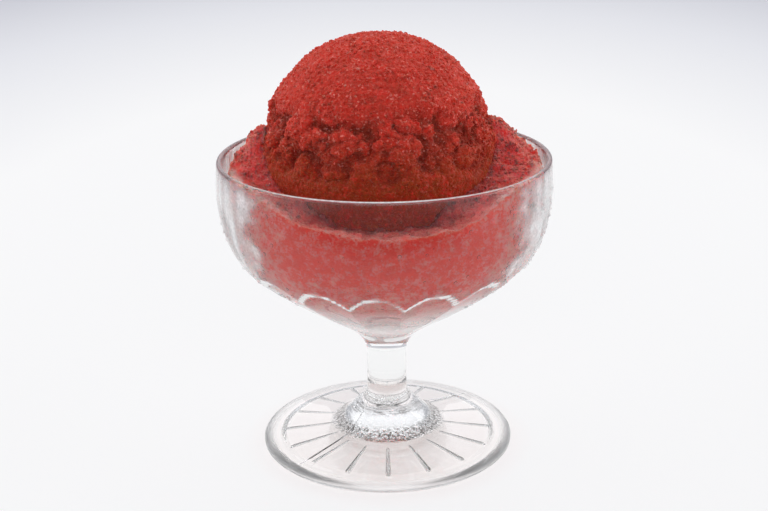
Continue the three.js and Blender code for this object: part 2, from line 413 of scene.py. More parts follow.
class DishSettings(bpy.types.PropertyGroup):
    """Sizes and finish of the glass dish."""
    arch_top: length_setting("Arch top", "Height of the arch that ends each panel", 61.0)
    arch_height: length_setting("Arch height", "Fall of each arch from its middle to its corners", 5.0)
    ledge_height: length_setting("Ledge height", "Height of the step under each arch", 1.7)
    ledge_depth: length_setting("Ledge depth", "Depth of the step under each arch, at its corners", 0.4)
    panel_depth: share_setting("Panel depth", "Depth of the panels, as a share of fully flat ones", 1.0)
    ray_depth: length_setting("Ray depth", "Depth of the foot's rays at their outer ends", 0.45)
    ray_width: length_setting("Ray width", "Width of the foot's rays at their outer ends", 1.5)
    glass_hex: hex_setting("Glass", "Tint of the glass", "#fcfdfc")
    # Strength of the white veil; along the ledges and across the rim's front the same white is a painted
    # highlight.
    mist: share_setting("Mist", "Whiteness of the mist where it is thickest", 0.78)
    # Dark tint in the pits of the hub's stipple: a painted shade.
    pit_shade_hex: hex_setting("Pits", "Colour in the pits of the hub's stipple", "#55504c")
    drops: amount_setting("Drops", "Water drops to a square centimetre", 60.0)
    smallest_drop: length_setting("Smallest drop", "Width of the smallest drops", 0.35)
    largest_drop: length_setting("Largest drop", "Width of the largest drops", 1.2)


class SherbetSettings(bpy.types.PropertyGroup):
    """Sizes and colours of the sherbet."""
    crystal: length_setting("Crystal", "Width of one ice crystal", 0.5)
    grain: length_setting("Grain", "Width of one packed grain", 1.0)
    grain_depth: length_setting("Grain depth", "Height of the packed grains", 0.8)
    broken_grain: length_setting("Broken grain", "Width of the largest broken grain", 1.0)
    broken_grains: amount_setting("Broken grains", "Broken grains to a square millimetre", 1.1)
    chunk: length_setting("Chunk", "Width of the torn chunks", 3.4)
    chunk_depth: length_setting("Chunk depth", "Height of the torn chunks", 1.1)
    scrape_depth: length_setting("Scrape depth", "Depth of the marks drawn by the scoop", 0.6)
    torn_depth: length_setting("Torn depth", "Depth of the tears across the ball", 2.4)
    ball_hex: hex_setting("Ball", "Colour of the ball", "#e54232")
    ball_deep_hex: hex_setting("Ball, deep", "Colour of its denser patches", "#d23a28")
    # Darker and browner low on the ball: a painted shade.
    low_shade_hex: hex_setting("Ball, melting", "Colour low on the ball, where it melts", "#a53f15")
    bed_hex: hex_setting("Bed", "Colour of the bed", "#fa5856")
    bed_deep_hex: hex_setting("Bed, deep", "Colour of its denser patches", "#f04542")
    pressed_hex: hex_setting("Bed, pressed", "Colour of the bed where it is frozen to the glass", "#fb6458")
    # Paler bed: frostier patches and, lower down, a painted light from the floor below.
    frost_and_painted_light_hex: hex_setting("Bed, frosted", "Colour of the bed in frostier patches at the glass", "#ffb9b2")
    # Darker deep in the tears: a painted shade.
    hollow_shade_hex: hex_setting("Hollows", "Colour deep in the tears", "#9c2f1c")
    # Pink painted on glinting crystals, a painted highlight, and the tint of the sheen.
    glint_paint_and_sheen_hex: hex_setting("Icy pink", "Colour of crystals that catch the light", "#ffa294")


class StageSettings(bpy.types.PropertyGroup):
    """Floor and lights."""
    floor_hex: hex_setting("Floor", "Colour of the lit floor by the light from above", "#707070")
    unlit_hex: hex_setting("Unlit floor", "Colour of the floor in front of the lit part", "#58585c")
    unlit_glow: share_setting("Unlit glow", "Share of the glow that is left in front of the lit part", 0.1)
    glow_hex: hex_setting("Glow", "Colour of the floor's own light near the dish", "#e4e4e5")
    far_hex: hex_setting("Far glow", "Colour of the floor's own light at its far edge", "#94959e")
    # Pinker under the foot: a painted red light from the sherbet.
    foot_red_light_hex: hex_setting("Glow, foot", "Colour of the floor's light under the foot", "#e6dede")
    # Dimmer under the hub: a painted shadow.
    hub_shadow_hex: hex_setting("Glow, hub", "Colour of the floor's light under the hub", "#cfc5c4")
    wall_hex: hex_setting("Walls", "Colour of the light from all round", "#d4d6de")
    key_power: amount_setting("Key power", "Power of the overhead light, in watts", 2.2)
    back_power: amount_setting("Back power", "Power of the light behind, in watts", 6.0)
    front_power: amount_setting("Front power", "Power of the light in front, in watts", 3.5)
    side_power: amount_setting("Side power", "Power of each light at the side, in watts", 2.8)
    fill_strength: amount_setting("Fill strength", "Strength of the light from high all round", 0.3)
    wall_strength: amount_setting("Wall strength", "Strength of the light from low all round", 0.9)


# ======== materials ========

def new_material(name):
    """An empty material: its tree, its Principled node and Object coordinates in millimetres."""
    material = bpy.data.materials.new(name)
    material.use_nodes = True
    tree = material.node_tree
    metres = add_node(tree, "ShaderNodeTexCoord").outputs["Object"]
    place = vector_maths(tree, "SCALE", metres, {"Scale": 1 / MM})
    return material, tree, tree.nodes["Principled BSDF"], place


def soda_lime_glass(settings):
    """Pressed soda-lime glass, fire-polished: clear, with a trace of grey-green.

    Its cold bowl is misted outside: a thin white veil, patchy over a centimetre and speckled by
    the fine drops it is made of. A mask of its points says where; along the panels' ledges and
    across the front of the rim the same white is a painted highlight, and low on the bowl it is
    thicker, partly as a painted light from the floor below. The foot's rays and standing edge,
    where the scuffed attribute is, are less smooth and turn greyer, and the shoulder of its hub,
    where the stippled one is, has the small pits that its mould left, tinted dark there as a
    painted shade.
    """
    material, tree, shader, place = new_material("pressed soda-lime glass")
    uneven = remap(tree, noise_node(tree, place, 9.0, 3.0), 0.3, 0.7, 0.8, 1.15)
    fine = remap(tree, noise_node(tree, place, 0.7, 2.0), 0.3, 0.7, 0.75, 1.25)
    veil = maths(tree, "MULTIPLY", uneven, fine)
    # The white veil where the mask is; on the ledges and the rim's front it is a painted highlight.
    local = maths(tree, "MULTIPLY", veil, mask_node(tree, "mist"))
    white = maths(tree, "MULTIPLY", local, settings.mist, use_clamp=True)
    veiled = maths(tree, "MULTIPLY", white, 0.12)
    stippled = mask_node(tree, "stippled")
    pits = noise_node(tree, place, 0.8, 2.0)
    # The pits darken the glass's tint here: a painted shade.
    shaded = maths(tree, "MULTIPLY", remap(tree, pits, 0.45, 0.6), stippled, use_clamp=True)
    fill(tree, shader, {
        "Base Color": blend(tree, shaded, linear(settings.glass_hex), linear(settings.pit_shade_hex), "RGBA"),
        "IOR": 1.52, "Transmission Weight": maths(tree, "SUBTRACT", 1.0, white),
        "Roughness": maths(tree, "MULTIPLY_ADD", mask_node(tree, "scuffed"), 0.35, veiled),
        "Normal": add_node(tree, "ShaderNodeBump", {
            "Strength": stippled, "Distance": 0.8 * MM, "Height": pits})})
    return material


def condensed_water():
    """Condensed water: clear beads, each with a dark rim and a bright point where it bends the light."""
    material, tree, shader, _ = new_material("condensed water")
    fill(tree, shader, {
        "Base Color": linear("#ffffff"), "Transmission Weight": 1.0, "IOR": 1.33, "Roughness": 0.0})
    return material


def fruit_ice(settings, name, light_hex, deep_hex, low_shade_or_pressed_hexes, frosted, depth):
    """Churned fruit ice: a translucent red mass of fine ice crystals, scooped and torn.

    Light goes some way into it, which softens it. Each crystal is a Voronoi cell that tilts the
    surface its own way, so that a few glint, most of them along the marks of the scoop, and noise
    some millimetres across mottles the red. Some of those glinting crystals are also painted a
    light pink, a painted highlight. One mask gives other colours: darker and browner low on the
    ball, a painted shade, and the bed's own colours where it is pressed to the glass, paler in
    frostier patches and, lower down, paler still as a painted light from the floor below.
    Another darkens it deep in the tears, a painted shade.
    """
    material, tree, shader, place = new_material(name)
    crystal = add_node(tree, "ShaderNodeTexVoronoi", place, {"Scale": 1 / settings.crystal})
    own = add_node(tree, "ShaderNodeSeparateXYZ", crystal.outputs["Color"])
    mottle = noise_node(tree, place, 4.5, 4.0, 0.6)
    blotch = noise_node(tree, place, 2.4, 5.0, 0.7)
    grit = noise_node(tree, place, 0.5, 2.0)
    streaks = noise_node(tree, vector_maths(tree, "MULTIPLY", place, (0.22, 0.22, 1.0)), 0.9, 3.0)

    uneven = maths(tree, "MULTIPLY_ADD", streaks, 0.5, mottle)
    red = add_node(tree, "ShaderNodeValToRGB", maths(tree, "SUBTRACT", uneven, 0.25))
    deep, light = red.color_ramp.elements
    deep.position, deep.color = 0.36, linear(deep_hex)
    light.position, light.color = 0.64, linear(light_hex)
    spread = remap(tree, blotch, 0.3, 0.7, -1.05, 0.5)
    each = maths(tree, "MULTIPLY_ADD", own.outputs["Z"], 0.7, spread)
    paler_share = maths(tree, "ADD", mask_node(tree, "pale"), each, use_clamp=True)
    # Low on the ball a painted shade; on the bed, where it is pressed to the glass.
    soaked = mask_node(tree, "soaked")
    unshaded_or_loose = maths(tree, "MULTIPLY_ADD", soaked, -0.7, 1.0)
    # Glinting crystals are painted a lighter pink: a painted highlight.
    icy = remap(tree, own.outputs["X"], 0.8, 0.95, 0.0, frosted)
    lined = remap(tree, streaks, 0.45, 0.62, 0.15)
    painted_glint = maths(tree, "MULTIPLY", maths(tree, "MULTIPLY", icy, lined), unshaded_or_loose)
    colour = red
    # Other colours: darker low on the ball and deep in the tears, painted shade; paler low on the bed, partly
    # painted light; pink glints, painted highlights.
    for share, other in (
            (soaked, blend(tree, paler_share, *map(linear, low_shade_or_pressed_hexes), "RGBA")),
            (mask_node(tree, "pit"), linear(settings.hollow_shade_hex)), (painted_glint, linear(settings.glint_paint_and_sheen_hex))):
        colour = blend(tree, share, colour, other, "RGBA")

    normal = add_node(tree, "ShaderNodeNewGeometry").outputs["Normal"]
    tilt = vector_maths(tree, "SUBTRACT", crystal.outputs["Color"], (0.5, 0.5, 0.5))
    facet = vector_maths(tree, "MULTIPLY_ADD", tilt, (0.8, 0.8, 0.8), normal)
    relief = add_node(tree, "ShaderNodeBump", {
        "Height": maths(tree, "MULTIPLY_ADD", streaks, 0.7, grit), "Strength": 0.9, "Distance": 0.6 * MM,
        "Normal": vector_maths(tree, "NORMALIZE", facet)})
    fill(tree, shader, {
        "Base Color": colour, "Normal": relief,
        "Roughness": remap(tree, own.outputs["Y"], 0.86, 0.93, 0.62, 0.16),
        "Subsurface Weight": 1.0, "Subsurface Radius": (1.0, 0.2, 0.12), "Subsurface Scale": depth * MM,
        "IOR": 1.31, "Specular IOR Level": 0.4,
        "Sheen Weight": 0.3, "Sheen Roughness": 0.45, "Sheen Tint": linear(settings.glint_paint_and_sheen_hex)})
    return material


def lit_acrylic(settings):
    """Opal acrylic lit from below: evenly bright round the dish, dimmer and cooler far away.

    The lit part ends a little in front of the dish, so that less of it shows in the front wall.
    Beyond that the floor is dark grey, out of sight of the scene's own camera. Under the foot its
    light is pinker, a painted red light from the sherbet, and under the hub dimmer, a painted
    shadow.
    """
    material, tree, shader, place = new_material("opal acrylic, lit from below")
    spread = add_node(tree, "ShaderNodeMapping", place, {
        "Location": (0, -FLOOR_GLOW_BACK / FLOOR_GLOW_DEPTH, 0),
        "Scale": (1 / FLOOR_GLOW_WIDTH, 1 / FLOOR_GLOW_DEPTH, 0)})
    reach = vector_maths(tree, "LENGTH", spread).outputs["Value"]
    lighting = add_node(tree, "ShaderNodeValToRGB", maths(tree, "MULTIPLY", reach, 0.5))
    ramp = lighting.color_ramp.elements
    ramp[0].position, ramp[0].color = 0.18, linear(settings.glow_hex)
    ramp[1].position, ramp[1].color = 1.0, linear(settings.far_hex)
    for position, colour in ((0.33, "#cfd0d6"), (0.45, "#b8b9c2")):
        ramp.new(position).color = linear(colour)
    near = vector_maths(tree, "LENGTH", place).outputs["Value"]
    # Under the foot a painted red light, under the hub a painted shadow.
    for (low, high), colour in ((FOOT_RED_LIGHT, settings.foot_red_light_hex), (HUB_SHADOW, settings.hub_shadow_hex)):
        lighting = blend(tree, remap(tree, near, low, high), linear(colour), lighting, "RGBA")
    along = add_node(tree, "ShaderNodeSeparateXYZ", place).outputs["Y"]
    lit = remap(
        tree, along, FLOOR_GLOW_END - FLOOR_GLOW_FADE, FLOOR_GLOW_END, settings.unlit_glow, smooth=True)
    fill(tree, shader, {
        "Base Color": blend(tree, lit, linear(settings.unlit_hex), linear(settings.floor_hex), "RGBA"),
        "Emission Color": lighting, "Emission Strength": lit, "Roughness": 0.6, "Specular IOR Level": 0.1})
    return material


# ======== the dish ========

def inner_radius(height):
    """The inside of the bowl, a full rounded cup."""
    fall = np.clip((BOWL_WIDEST_HEIGHT - height) / (BOWL_WIDEST_HEIGHT - INNER_BOTTOM_HEIGHT), 0, 1)
    return INNER_RADIUS * np.sqrt(1 - fall ** INNER_FULLNESS)


def inner_height(angle):
    """The height on the inside of the bowl at an angle from its bottom."""
    depth = BOWL_WIDEST_HEIGHT - INNER_BOTTOM_HEIGHT
    return BOWL_WIDEST_HEIGHT - depth * np.cos(angle) ** (2 / INNER_FULLNESS)


def inner_angle(height):
    """The angle from the bottom at which the inside of the bowl reaches a height."""
    fall = np.clip((BOWL_WIDEST_HEIGHT - height) / (BOWL_WIDEST_HEIGHT - INNER_BOTTOM_HEIGHT), 0, 1)
    return np.arccos(fall ** (INNER_FULLNESS / 2))


def dish_profile():
    """The dish's outline by its stretches, from under the foot, over the rim, to the bowl's bottom."""
    half = RIM_THICKNESS / 2
    turn = np.linspace(0, math.pi, 10)[1:]
    rim = np.stack([
        RIM_RADIUS - half + half * np.cos(turn), RIM_HEIGHT - half + half * np.sin(turn)], axis=1)
    heights = inner_height(np.linspace(math.pi / 2, 0, 42))
    return {
        "hub": evenly(rounded([
            (0, 3.0), (7, 2.95), (12, 2.75), (14, 2.5), (RAY_INNER_RADIUS, 2.25), (16, 2.13)], 3), 16),
        "rayed": evenly(np.array([(16, 2.13), (RAY_OUTER_RADIUS - 0.1, 1.1)]), 16)[1:],
        "foot": evenly(rounded([
            (RAY_OUTER_RADIUS, 1.05), (30.9, 0.85), (31.5, 0.25), (32.0, 0), (32.6, 0), (34.3, 0),
            (36.0, 0.3), (37.2, 1.0), (37.4, 1.9), (36.9, 2.7), (35.6, 3.15), (33.0, 3.5), (26, 4.6),
            (18.2, 5.95), (15.6, 6.9), (14.1, 7.9), (10.4, 11.1), (7.5, 14.1), (6.1, 16.4),
            (STEM_RADIUS, 19), (STEM_RADIUS, 24), (STEM_RADIUS, STEM_TOP_HEIGHT)], 3), 70),
        "bowl": curve_through([
            (STEM_RADIUS, STEM_TOP_HEIGHT), (6.6, 32), (9, 35.2), (15.2, 39.6), (22.4, 44), (29.8, 49),
            (36.8, 54.2), (42.4, 60), (45.9, 67), (47.6, 74.5), (BOWL_RADIUS, BOWL_WIDEST_HEIGHT),
            (RIM_RADIUS, RIM_HEIGHT - half)], 66)[1:],
        "rim": rim,
        "inside": np.stack([inner_radius(heights), heights], axis=1),
    }


def panel_nodes(tree, given, radius, azimuth, height):
    """The radius with flat panels cut into the lower bowl, each under an arch, and where its step is."""
    turn = maths(tree, "SUBTRACT", azimuth, given["Panel Corner"])
    count = maths(tree, "DIVIDE", turn, given["Panel Angle"])
    part = maths(tree, "SUBTRACT", maths(tree, "FRACT", count), 0.5)
    within = maths(tree, "MULTIPLY", part, given["Panel Angle"])
    half = maths(tree, "MULTIPLY", given["Panel Angle"], 0.5)
    square = maths(tree, "POWER", maths(tree, "DIVIDE", within, half), 2.0)
    drop = maths(tree, "MULTIPLY", square, given["Arch Height"])
    arch = maths(tree, "SUBTRACT", given["Arch Top"], drop)
    depth = maths(tree, "SUBTRACT", arch, height)
    ledge = remap(tree, depth, 0.0, given["Ledge Height"], smooth=True)
    fade = remap(tree, height, (PANEL_BOTTOM - 2.5) * MM, PANEL_BOTTOM * MM, smooth=True)
    cut = maths(tree, "MULTIPLY", maths(tree, "MULTIPLY", ledge, fade), given["Panel Depth"])
    ratio = maths(tree, "DIVIDE", maths(tree, "COSINE", half), maths(tree, "COSINE", within))
    flat = maths(tree, "SUBTRACT", maths(tree, "MULTIPLY", radius, ratio), given["Ledge Depth"])
    falling = maths(tree, "SUBTRACT", 1.0, cut)
    # The second value, on each step, is where the white of a painted highlight goes.
    return blend(tree, cut, radius, flat), maths(tree, "MULTIPLY", cut, falling)


def ray_nodes(tree, given, radius, azimuth):
    """How far the foot's underside is raised by its rays, which widen and deepen outwards, and where."""
    turns = maths(tree, "DIVIDE", azimuth, given["Panel Angle"])
    nearest = maths(tree, "ROUND", turns)
    off = maths(tree, "ABSOLUTE", maths(tree, "SUBTRACT", turns, nearest))
    angle = maths(tree, "MULTIPLY", off, given["Panel Angle"])
    across = maths(tree, "MULTIPLY", angle, radius)
    along = remap(tree, radius, RAY_INNER_RADIUS * MM, RAY_OUTER_RADIUS * MM, 0.35)
    half = maths(tree, "MULTIPLY", along, maths(tree, "MULTIPLY", given["Ray Width"], 0.5))
    share = maths(tree, "SUBTRACT", 1.0, maths(tree, "DIVIDE", across, half), use_clamp=True)
    depth = maths(tree, "MULTIPLY", along, given["Ray Depth"])
    return maths(tree, "MULTIPLY", share, depth), share


def dish_tree(values):
    """Geometry nodes that press the panels and rays into the plain turned dish."""
    tree, given = geometry_tree("pressed dish", values)
    place = add_node(tree, "GeometryNodeInputPosition")
    x, y, z = add_node(tree, "ShaderNodeSeparateXYZ", place).outputs
    flat = add_node(tree, "ShaderNodeCombineXYZ", x, y, 0.0)
    radius = maths(tree, "ADD", vector_maths(tree, "LENGTH", flat).outputs["Value"], 1e-9)
    azimuth = maths(tree, "ARCTAN2", x, maths(tree, "MULTIPLY", y, -1.0))
    outer = mask_node(tree, "outer_bowl")
    under = mask_node(tree, "rayed")

    cut, step = panel_nodes(tree, given, radius, azimuth, z)
    rays, on_ray = ray_nodes(tree, given, radius, azimuth)
    scale = blend(tree, outer, 1.0, maths(tree, "DIVIDE", cut, radius))
    height = maths(tree, "ADD", z, maths(tree, "MULTIPLY", rays, under))
    x, y = (maths(tree, "MULTIPLY", part, scale) for part in (x, y))
    moved = add_node(tree, "ShaderNodeCombineXYZ", x, y, height)
    pressed = add_node(tree, "GeometryNodeSetPosition", given["Geometry"], {"Position": moved})
    # Noise that makes the painted highlight along each ledge uneven.
    uneven = remap(tree, noise_node(tree, place, 7 * MM, 3.0), 0.4, 0.62, 0.3, 2.2)
    step = maths(tree, "MULTIPLY", step, uneven)
    # On the ledges the added white is a painted highlight; on the rays it goes with the scuffs.
    for name, where, amount, strength in (
            ("mist", outer, step, 7.0), ("scuffed", under, on_ray, 2.5), ("mist", under, on_ray, 1.6)):
        local = maths(tree, "MULTIPLY", where, amount)
        more = maths(tree, "MULTIPLY_ADD", local, strength, mask_node(tree, name))
        pressed = keep_mask(tree, pressed, name, more)
    return close_tree(tree, given, pressed)


def dish_base():
    """The plain turned dish with its mould seams, and masks of where its finish differs."""
    stretches = dish_profile()
    outline = np.concatenate(list(stretches.values()))
    labels = np.concatenate([[name] * len(line) for name, line in stretches.items()])[:, None]
    hub, rayed, foot, bowl, rim = (1.0 * (labels == name) for name in ("hub", "rayed", "foot", "bowl", "rim"))
    columns = np.linspace(-math.pi, math.pi, DISH_COLUMNS, endpoint=False)
    seams = np.array([SEAM_AZIMUTH, SEAM_AZIMUTH + math.pi])
    seam_columns = seams[:, None] + SEAM_ANGLE * np.array([-1, 0, 1])
    azimuth = np.sort(np.concatenate([columns, seam_columns.ravel()]))[None, :]
    away = np.minimum(*(np.abs(azimuth - seam) for seam in seams))
    on_seam = np.clip(1 - away / SEAM_ANGLE, 0, 1)
    radius, level = outline[:, :1], outline[:, 1:]
    heights = level + SEAM_LIFT * foot * (level > SEAM_LOW) * (level < SEAM_HIGH) * on_seam

    sideways = np.arcsin(np.abs(np.sin(azimuth)))
    ragged = 0.09 * noise(azimuth * 6, heights / 5, 0) + 0.05 * noise(azimuth * 15, heights / 2, 3)
    runs = 0.72 + 0.4 * noise(azimuth * 17, heights / 12, 9)
    side = smoothstep(sideways + ragged, *MIST_SIDES) * runs
    # Thicker white low on the bowl, partly a painted light from the floor below.
    low = 1 - smoothstep(heights, *LOW_MIST_AND_LIGHT_FADES)
    climb = smoothstep(heights, *MIST_RISES) * (1 - smoothstep(heights, *MIST_ENDS))
    # White across the front of the rim: a painted highlight.
    rim_highlight = rim * (heights > RIM_HEIGHT - 0.3) * (1 - smoothstep(sideways, 0, 1.5))
    edge = foot * (heights < SCUFFED_HIGH) * smoothstep(radius, *SCUFFED_EDGE)
    near_stipple = 1 - smoothstep(np.abs(radius - STIPPLE_RADIUS), *STIPPLE_FADES)
    drops = 0.02 + bump(sideways + ragged, *DROPS_BORDER) + 0.12 * side + 0.5 * bump(azimuth, *DROPS_RUN)
    wet = bowl * smoothstep(heights, *DROPS_RISE) * (1 - smoothstep(heights, *DROPS_END))
    return ring_mesh("dish_base", radius + 0 * azimuth, heights, azimuth, {
        "outer_bowl": bowl, "rayed": rayed,
        "mist": bowl * climb * np.clip(1.05 * side + 0.85 * low, 0, 1) + rim_highlight + 0.25 * edge + 0.1 * hub,
        "dew": wet * np.clip(drops, 0, 1), "scuffed": edge * 0.8 + hub * 0.15,
        "stippled": foot * near_stipple * (heights > STIPPLE_LOW)})


class SHERBET_OT_dish(bpy.types.Operator):
    """Builds the pressed-glass dish with its panels, rays, rounded rim, mould seams and stippled hub"""
    bl_idname = "sherbet.dish"
    bl_label = "Glass dish"

    def execute(self, context):
        settings = context.scene.sherbet_dish
        values = {
            "Panel Angle": PANEL_ANGLE, "Panel Corner": PANEL_CORNER_AZIMUTH,
            "Panel Depth": settings.panel_depth, "Material": soda_lime_glass(settings),
            **lengths(settings, "arch_top", "arch_height", "ledge_height", "ledge_depth"),
            **lengths(settings, "ray_depth", "ray_width")}
        mesh = run_tree("dish", dish_tree(values), dish_base(), values)
        finish_piece(add_object("dish", mesh), "glass_dish")
        return {"FINISHED"}


def scatter_nodes(tree, given, where, rounds, skew, stretch, turn=None):
    """Round beads where a mask is, most of them small, stretched, and turned or flat on the face."""
    amount = maths(tree, "MULTIPLY", mask_node(tree, where), given["Density"])
    points = add_node(tree, "GeometryNodeDistributePointsOnFaces", given["Geometry"], {
        "Density": amount, "Seed": given["Seed"]})
    bead = add_node(tree, "GeometryNodeMeshIcoSphere", {"Radius": 0.5, "Subdivisions": rounds})
    chance = add_node(tree, "FunctionNodeRandomValue", {"Seed": given["Seed"]}).outputs["Value"]
    width = blend(tree, maths(tree, "POWER", chance, skew), given["Smallest"], given["Largest"])
    return add_node(tree, "GeometryNodeInstanceOnPoints", points, {
        "Instance": bead, "Rotation": points.outputs["Rotation"] if turn is None else turn,
        "Scale": vector_maths(tree, "SCALE", stretch, {"Scale": width})})


def scatter(name, source, build, density, smallest, largest, seed, material):
    """Adds what a tree scatters over a finished piece; widths are in millimetres."""
    values = {"Density": density, "Smallest": smallest * MM, "Largest": largest * MM, "Seed": seed,
              "Material": material}
    mesh = run_tree(name, build(values), source.data.copy(), values)
    finish_piece(add_object(name, mesh), None)


def dew_tree(values):
    """Geometry nodes that sit small drops on the cold glass."""
    tree, given = geometry_tree("drops on the glass", values)
    beads = scatter_nodes(tree, given, "dew", rounds=2, skew=2.6, stretch=(1.0, 1.1, 0.6))
    return close_tree(tree, given, add_node(tree, "GeometryNodeSetShadeSmooth", beads))


class SHERBET_OT_dew(bpy.types.Operator):
    """Scatters condensed drops over the outside of the bowl"""
    bl_idname = "sherbet.dew"
    bl_label = "Condensation"

    def execute(self, context):
        settings = context.scene.sherbet_dish
        scatter("dew", bpy.data.objects["dish"], dew_tree, settings.drops / (10 * MM) ** 2,
                settings.smallest_drop, settings.largest_drop, 7, condensed_water())
        return {"FINISHED"}


# ======== the sherbet ========

def clearance(azimuth, height):
    """How far the bed stands off the glass: it has drawn away from the wall at both sides."""
    rise = smoothstep(height, CLEARANCE_BOTTOM_HEIGHT, CLEARANCE_FULL_HEIGHT)
    left = LEFT_CLEARANCE * bump(azimuth, COLLAR_LEFT_AZIMUTH, 0.75)
    right = RIGHT_CLEARANCE * bump(azimuth, COLLAR_RIGHT_AZIMUTH, 0.7)
    return rise * (left + right)


def edge_height(azimuth):
    """The height of the bed's top edge at the glass."""
    low = np.where(np.cos(azimuth) > 0, BED_FRONT_HEIGHT, BED_BACK_HEIGHT)
    ragged = 0.9 * noise(3 * np.sin(azimuth), 3 * np.cos(azimuth), 7.3) + 0.8 * noise(
        15 * np.sin(azimuth), 15 * np.cos(azimuth), 1.7)
    return lerp(low, BED_SIDE_HEIGHT, smoothstep(np.sin(azimuth) ** 2, 0, 0.75)) + ragged


def collar_height(azimuth):
    """The height of the sherbet against the ball: a moat in front and behind, a collar at the sides."""
    left = bump(azimuth, COLLAR_LEFT_AZIMUTH, 0.7)
    right = bump(azimuth, COLLAR_RIGHT_AZIMUTH, 0.75)
    moat = edge_height(azimuth) - MOAT_DEPTH
    ragged = 1.6 * noise(5 * np.sin(azimuth), 5 * np.cos(azimuth), 2.1)
    return moat + left * (COLLAR_LEFT_HEIGHT - moat) + right * (COLLAR_RIGHT_HEIGHT - moat) + ragged


def ball_edge(azimuth, height):
    """The radius from the dish's axis to the ball's skin, at an azimuth and height."""
    ring = np.sqrt(np.maximum(SCOOP_RADIUS ** 2 - (height - SCOOP_CENTRE.z) ** 2, 0))
    across = SCOOP_CENTRE.x * np.cos(azimuth)
    return SCOOP_CENTRE.x * np.sin(azimuth) + np.sqrt(np.maximum(ring ** 2 - across ** 2, 0))


def bed_mesh():
    """The bed from the bottom of the bowl, up its side, over its top and down under the ball."""
    azimuth = np.linspace(-math.pi, math.pi, SHERBET_COLUMNS, endpoint=False)[None, :]
    edge = edge_height(azimuth)
    collar = collar_height(azimuth)
    share = np.linspace(0, 1, BED_SIDE_RINGS)[:, None]
    side_heights = inner_height(inner_angle(np.minimum(edge, BOWL_WIDEST_HEIGHT)) * share)
    side_heights = side_heights + np.maximum(edge - BOWL_WIDEST_HEIGHT, 0) * share ** 4
    gap = clearance(azimuth, side_heights)
    side_radii = inner_radius(side_heights) - gap + REACH_INTO_WALL
    side_heights = side_heights - REACH_INTO_WALL * (1 - share)
    side_loose = smoothstep(gap, 0.4, 2.5)

    across = np.linspace(0, 1, BED_TOP_RINGS)[1:, None]
    top_radii = lerp(side_radii[-1:], ball_edge(azimuth, collar - 1) - 0.8, across)
    relief = noise(top_radii * np.sin(azimuth) / 5, top_radii * np.cos(azimuth) / 5, 5.5)
    top_heights = lerp(edge, collar, smoothstep(across, 0, 0.8))
    top_heights = top_heights + 1.1 * relief * (1 - (2 * across - 1) ** 8)
    top_loose = np.maximum(smoothstep(across, 0, 0.25), side_loose[-1:])

    under = np.linspace(0, 1, 9)[1:, None]
    under_heights = collar - 1 - 12 * under
    under_radii = ball_edge(azimuth, under_heights) * (1 - 0.35 * under)
    middle = np.full_like(azimuth, under_heights.min() - 2)
    radii = np.concatenate([side_radii, top_radii, under_radii, 0 * middle])
    heights = np.concatenate([side_heights, top_heights, under_heights, middle])
    loose = np.concatenate([side_loose, top_loose, 0 * under_radii, 0 * middle])
    radii[0] = 0
    # Paler low on the bed, a painted light from the lit floor; paler at the sides, where it is frostier.
    pale = (1.2 * (1 - smoothstep(heights, 46, 70)) + 0.1 * smoothstep(heights, 70, 77)
            + 0.9 * smoothstep(np.abs(np.sin(azimuth)), 0.5, 0.9))
    return ring_mesh("bed_base", radii, heights, azimuth, {
        "torn": 0.8 * loose, "loose": loose, "scraped": 0 * loose, "soaked": 1 - loose, "pale": pale,
        "pit": -1.0 * loose, "broken": loose * smoothstep(heights, 60, 70)})


def ball_relief(x, y, z):
    """The solid model's own relief on the ball: tears across its middle, and lumps and scrapes above."""
    level = z + 2 * noise(x / 9, y / 9, 0 * x)
    band = smoothstep(level, TORN_BAND_LOW, TORN_BAND_LOW + 5) * (
        1 - smoothstep(level, TORN_BAND_HIGH - 5, TORN_BAND_HIGH))
    lumps = noise(x / LUMP_SIZE, y / LUMP_SIZE, z / LUMP_SIZE)
    scraped = smoothstep(z, SCRAPED_LOW, SCRAPED_FULL)
    return band, lumps, scraped


def ball_mesh(settings):
    """A ball of rings, fine where it shows and coarse where the bed hides it."""
    hidden = np.linspace(math.pi, BALL_SHOWN_ANGLE, BALL_HIDDEN_RINGS)[:-1]
    polar = np.concatenate([hidden, np.linspace(BALL_SHOWN_ANGLE, 0, BALL_RINGS)])[:, None]
    azimuth = np.linspace(-math.pi, math.pi, SHERBET_COLUMNS, endpoint=False)[None, :]
    across, up = np.sin(polar), np.cos(polar)
    x = SCOOP_RADIUS * (across * np.sin(azimuth)) + SCOOP_CENTRE.x
    y = SCOOP_RADIUS * (-across * np.cos(azimuth)) + SCOOP_CENTRE.y
    z = SCOOP_RADIUS * (up + 0 * azimuth) + SCOOP_CENTRE.z
    band, lumps, scraped = ball_relief(x, y, z)
    tear = band * (1 - np.abs(lumps)) ** 3
    lift = -settings.torn_depth * tear + scraped * 0.35 * lumps
    radius = SCOOP_RADIUS + lift
    mesh = ring_mesh("ball_base", radius * across, radius * up, azimuth, {
        # Lower on the ball it is darker and browner: a painted shade.
        "torn": band, "scraped": scraped * (1 - band), "loose": 1.0, "soaked": 1 - smoothstep(z, 88, 104),
        # Deep tears are darkened: a painted shade.
        "pit": 0.8 * smoothstep(tear, 0.4, 1.0),
        "broken": smoothstep(z, 88, 96) * (1 - 0.25 * smoothstep(z, 104, 110))})
    mesh.transform(Matrix.Translation(SCOOP_CENTRE * MM))
    return mesh


def ice_values(settings, material):
    """The inputs of the packed ice tree."""
    return {**lengths(settings, "grain", "grain_depth", "chunk", "chunk_depth", "scrape_depth"),
            "Material": material}


